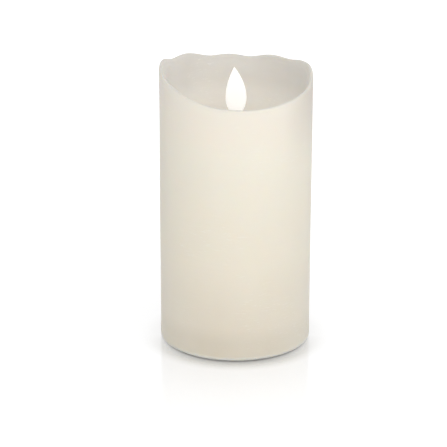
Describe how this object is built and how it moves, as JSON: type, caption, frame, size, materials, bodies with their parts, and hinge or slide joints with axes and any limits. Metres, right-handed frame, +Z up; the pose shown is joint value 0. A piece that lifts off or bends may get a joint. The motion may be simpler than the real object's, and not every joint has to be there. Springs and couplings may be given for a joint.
{
  "type": "flameless led candle",
  "caption": "Flameless LED pillar candle: ivory wax shell with a wavy rim and a rocking, lit flame over a battery base.",
  "frame": {"origin": "centre of the foot's flat ring, on the surface the candle stands on", "axes": "+Z up along the pillar; the low front of the rim faces -Y; +X to the right seen from the front"},
  "size_m": [0.08, 0.08, 0.15],
  "materials": {
    "wax": "soft ivory wax, slightly frosted",
    "base_plastic": "moulded warm grey plastic",
    "door_plastic": "moulded warm grey plastic, fine grain",
    "collar_plastic": "moulded ivory plastic",
    "module_plastic": "moulded white plastic",
    "knob_plastic": "dark moulded plastic",
    "flame_plastic": "translucent white, lit from below",
    "cell_sleeve": "plain shrink sleeve with steel ends",
    "contact_plating": "nickel plated spring steel",
    "spring_steel": "bright spring wire",
    "screw_steel": "zinc plated",
    "switch_shell": "tinned sheet steel",
    "circuit_board": "green solder mask",
    "black_resin": "moulded black resin",
    "capacitor_sleeve": "dark sleeve with bare aluminium top",
    "can_metal": "tinned metal",
    "resistor_ceramic": "chip resistor",
    "magnet_plating": "nickel plated magnet",
    "copper_wire": "enamelled copper winding",
    "lamp_epoxy": "diffused epoxy lamp",
    "wire_red": "insulated wire",
    "wire_black": "insulated wire",
    "wire_white": "insulated wire",
    "wire_blue": "insulated wire"
  },
  "bodies": {
    "candle": {"wax_shell": "wax", "base_housing": "base_plastic", "base_cover": "base_plastic", "cover_screws": "screw_steel", "battery_cell_front": "cell_sleeve", "battery_cell_rear": "cell_sleeve", "contact_bridge": "contact_plating", "contact_positive": "contact_plating", "contact_negative": "contact_plating", "spring_bridge": "spring_steel", "spring_negative": "spring_steel", "main_board": "circuit_board", "board_screws": "screw_steel", "switch_body": "switch_shell", "controller_chip": "black_resin", "capacitor": "capacitor_sleeve", "crystal": "can_metal", "resistors": "resistor_ceramic", "transistor": "black_resin", "support_column": "module_plastic", "column_screws": "screw_steel", "module_housing": "module_plastic", "module_collar": "collar_plastic", "module_screws": "screw_steel", "pivot_wire": "spring_steel", "coil_bobbin": "black_resin", "coil_winding": "copper_wire", "led_lamp": "lamp_epoxy", "led_leads": "can_metal", "lamp_wire_positive": "wire_red", "lamp_wire_negative": "wire_black", "coil_wire_left": "wire_white", "coil_wire_right": "wire_blue", "battery_wire_positive": "wire_red", "battery_wire_negative": "wire_black"},
    "flame": {"flame_tip": "flame_plastic", "flame_magnet": "magnet_plating"},
    "switch": {"switch_knob": "knob_plastic"},
    "door": {"battery_door": "door_plastic"}
  },
  "joints": [
    {"name": "flame_swing", "type": "hinge", "parent": "candle", "child": "flame", "pos_m": [0, 0, 0.112], "axis": [0, 1, 0], "range_deg": [-12, 12]},
    {"name": "switch_slide", "type": "slide", "parent": "candle", "child": "switch", "axis": [1, 0, 0], "range_m": [-0.002, 0.002]},
    {"name": "battery_door_hinge", "type": "hinge", "parent": "candle", "child": "door", "pos_m": [-0.03, 0, 0.0015], "axis": [0, 1, 0], "range_deg": [0, 85]}
  ]
}
